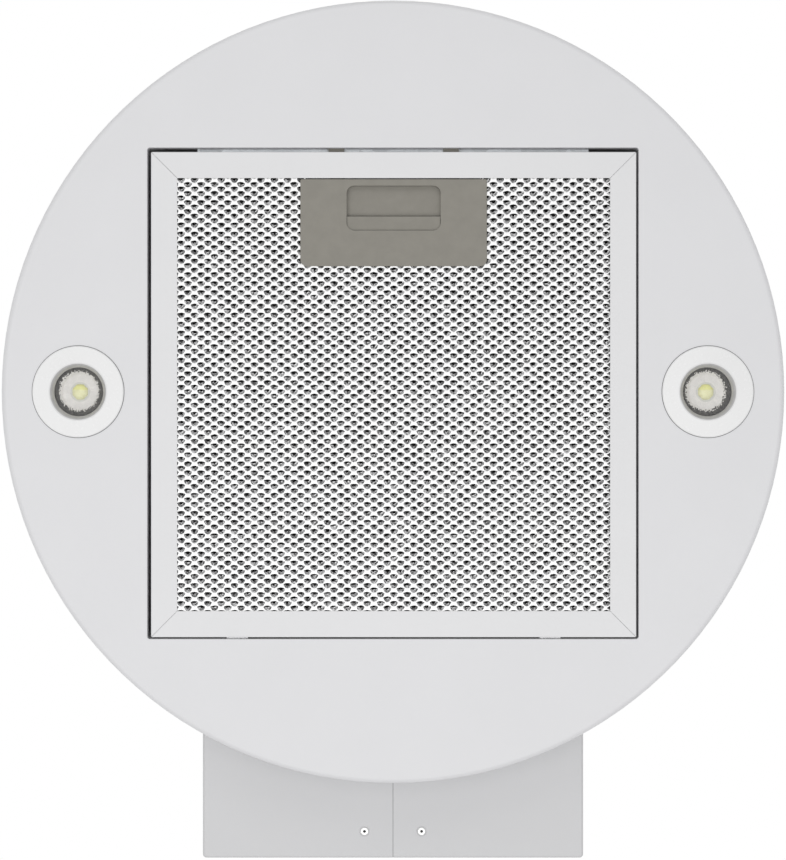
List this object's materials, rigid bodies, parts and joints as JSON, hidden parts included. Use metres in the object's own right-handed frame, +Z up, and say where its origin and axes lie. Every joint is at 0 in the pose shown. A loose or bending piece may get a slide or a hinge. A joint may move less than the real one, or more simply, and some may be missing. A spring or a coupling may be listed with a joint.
{
  "type": "island range hood",
  "caption": "Round flat-bottomed ceiling-hung kitchen extractor hood with a square telescopic chimney, a square mesh grease filter with a latch, and two round lamps.",
  "frame": {"origin": "centre of the ceiling plate's top face, which lies against the ceiling; it is also the centre of the chimney's section", "axes": "+Z up into the ceiling, -Y towards the front, where the buttons are, +X to the right seen from the front"},
  "size_m": [0.6, 0.6669, 0.782],
  "materials": {
    "white_enamel": "smooth satin powder coat",
    "galvanised_steel": "dull zinc",
    "filter_frame": "smooth satin white",
    "filter_mesh": "bright expanded metal",
    "handle_plastic": "fine-grained warm grey",
    "lamp_white": "satin white",
    "lens_glass": "clear moulded glass",
    "reflector": "bright metallised",
    "led_board": "white board with a pale yellow chip",
    "fastener": "bright zinc",
    "dark_plastic": "fine-grained black",
    "button_plastic": "satin silver grey",
    "circuit_board": "solder-masked green",
    "spring_steel": "bright drawn wire and leaf",
    "black_steel": "satin black paint",
    "aluminium": "cast",
    "rubber": "matt"
  },
  "bodies": {
    "ceiling_mount": {"ceiling_plate": "galvanised_steel", "upper_posts": "galvanised_steel", "frame_bolts": "fastener", "upper_chimney_left": "white_enamel", "upper_chimney_right": "white_enamel", "upper_chimney_straps": "galvanised_steel", "plate_screws": "fastener"},
    "hood": {"button_board": "circuit_board", "canopy_pan": "white_enamel", "canopy_screws": "fastener", "canopy_top": "white_enamel", "chimney_rivets": "fastener", "control_box": "dark_plastic", "control_box_lid": "dark_plastic", "control_fascia": "dark_plastic", "damper_pins": "spring_steel", "filter_stop_strip": "galvanised_steel", "lamp_bezel_left": "lamp_white", "lamp_bezel_right": "lamp_white", "lamp_clips": "spring_steel", "lamp_heat_sinks": "aluminium", "lamp_lens_left": "lens_glass", "lamp_lens_right": "lens_glass", "lamp_reflectors": "reflector", "led_module_left": "led_board", "led_module_right": "led_board", "lower_chimney_left": "white_enamel", "lower_chimney_right": "white_enamel", "lower_chimney_straps": "galvanised_steel", "lower_posts": "galvanised_steel", "motor_bearings": "spring_steel", "motor_box": "galvanised_steel", "motor_bracket": "galvanised_steel", "motor_can": "black_steel", "motor_capacitor": "aluminium", "motor_deck": "galvanised_steel", "motor_grommets": "rubber", "motor_stator": "spring_steel", "outlet_collar": "dark_plastic", "scroll_front": "galvanised_steel", "scroll_rear": "galvanised_steel", "supply_gland": "dark_plastic"},
    "filter": {"filter_rail_front": "filter_frame", "filter_rail_right": "filter_frame", "filter_rail_rear": "filter_frame", "filter_rail_left": "filter_frame", "filter_mesh": "filter_mesh", "filter_handle": "handle_plastic", "latch_springs": "spring_steel", "filter_lugs": "spring_steel"},
    "filter_latch": {"latch_slider": "handle_plastic"},
    "impeller": {"impeller": "dark_plastic", "motor_rotor": "spring_steel"},
    "damper_flap_front": {"damper_flap_front": "dark_plastic"},
    "damper_flap_rear": {"damper_flap_rear": "dark_plastic"},
    "button_1": {"button_1": "button_plastic"},
    "button_2": {"button_2": "button_plastic"},
    "button_3": {"button_3": "button_plastic"},
    "button_4": {"button_4": "button_plastic"},
    "button_5": {"button_5": "button_plastic"}
  },
  "joints": [
    {"name": "height_adjust", "type": "slide", "parent": "ceiling_mount", "child": "hood", "axis": [0, 0, 1], "range_m": [0, 0.2]},
    {"name": "filter_swing", "type": "hinge", "parent": "hood", "child": "filter", "pos_m": [0.0005, -0.02875, -0.78], "axis": [1, 0, 0], "range_deg": [0, 50]},
    {"name": "latch_slide", "type": "slide", "parent": "filter", "child": "filter_latch", "axis": [0, 1, 0], "range_m": [0, 0.005], "stiffness_N_per_m": 400, "springref_m": -0.01, "deforming": ["latch_springs"]},
    {"name": "impeller_spin", "type": "hinge", "parent": "hood", "child": "impeller", "pos_m": [-0.01, 0, -0.5875], "axis": [0, 1, 0], "continuous": true},
    {"name": "damper_front_swing", "type": "hinge", "parent": "hood", "child": "damper_flap_front", "pos_m": [0, -0.005, -0.4335], "axis": [-1, 0, 0], "range_deg": [0, 75]},
    {"name": "damper_rear_swing", "type": "hinge", "parent": "hood", "child": "damper_flap_rear", "pos_m": [0, 0.005, -0.4335], "axis": [1, 0, 0], "range_deg": [0, 75]},
    {"name": "button_1_press", "type": "slide", "parent": "hood", "child": "button_1", "axis": [0.1461, 0.9893, 0], "range_m": [0, 0.0015], "stiffness_N_per_m": 600, "springref_m": -0.001},
    {"name": "button_2_press", "type": "slide", "parent": "hood", "child": "button_2", "axis": [0.0733, 0.9973, 0], "range_m": [0, 0.0015], "stiffness_N_per_m": 600, "springref_m": -0.001},
    {"name": "button_3_press", "type": "slide", "parent": "hood", "child": "button_3", "axis": [0, 1, 0], "range_m": [0, 0.0015], "stiffness_N_per_m": 600, "springref_m": -0.001},
    {"name": "button_4_press", "type": "slide", "parent": "hood", "child": "button_4", "axis": [-0.0733, 0.9973, 0], "range_m": [0, 0.0015], "stiffness_N_per_m": 600, "springref_m": -0.001},
    {"name": "button_5_press", "type": "slide", "parent": "hood", "child": "button_5", "axis": [-0.1461, 0.9893, 0], "range_m": [0, 0.0015], "stiffness_N_per_m": 600, "springref_m": -0.001}
  ]
}
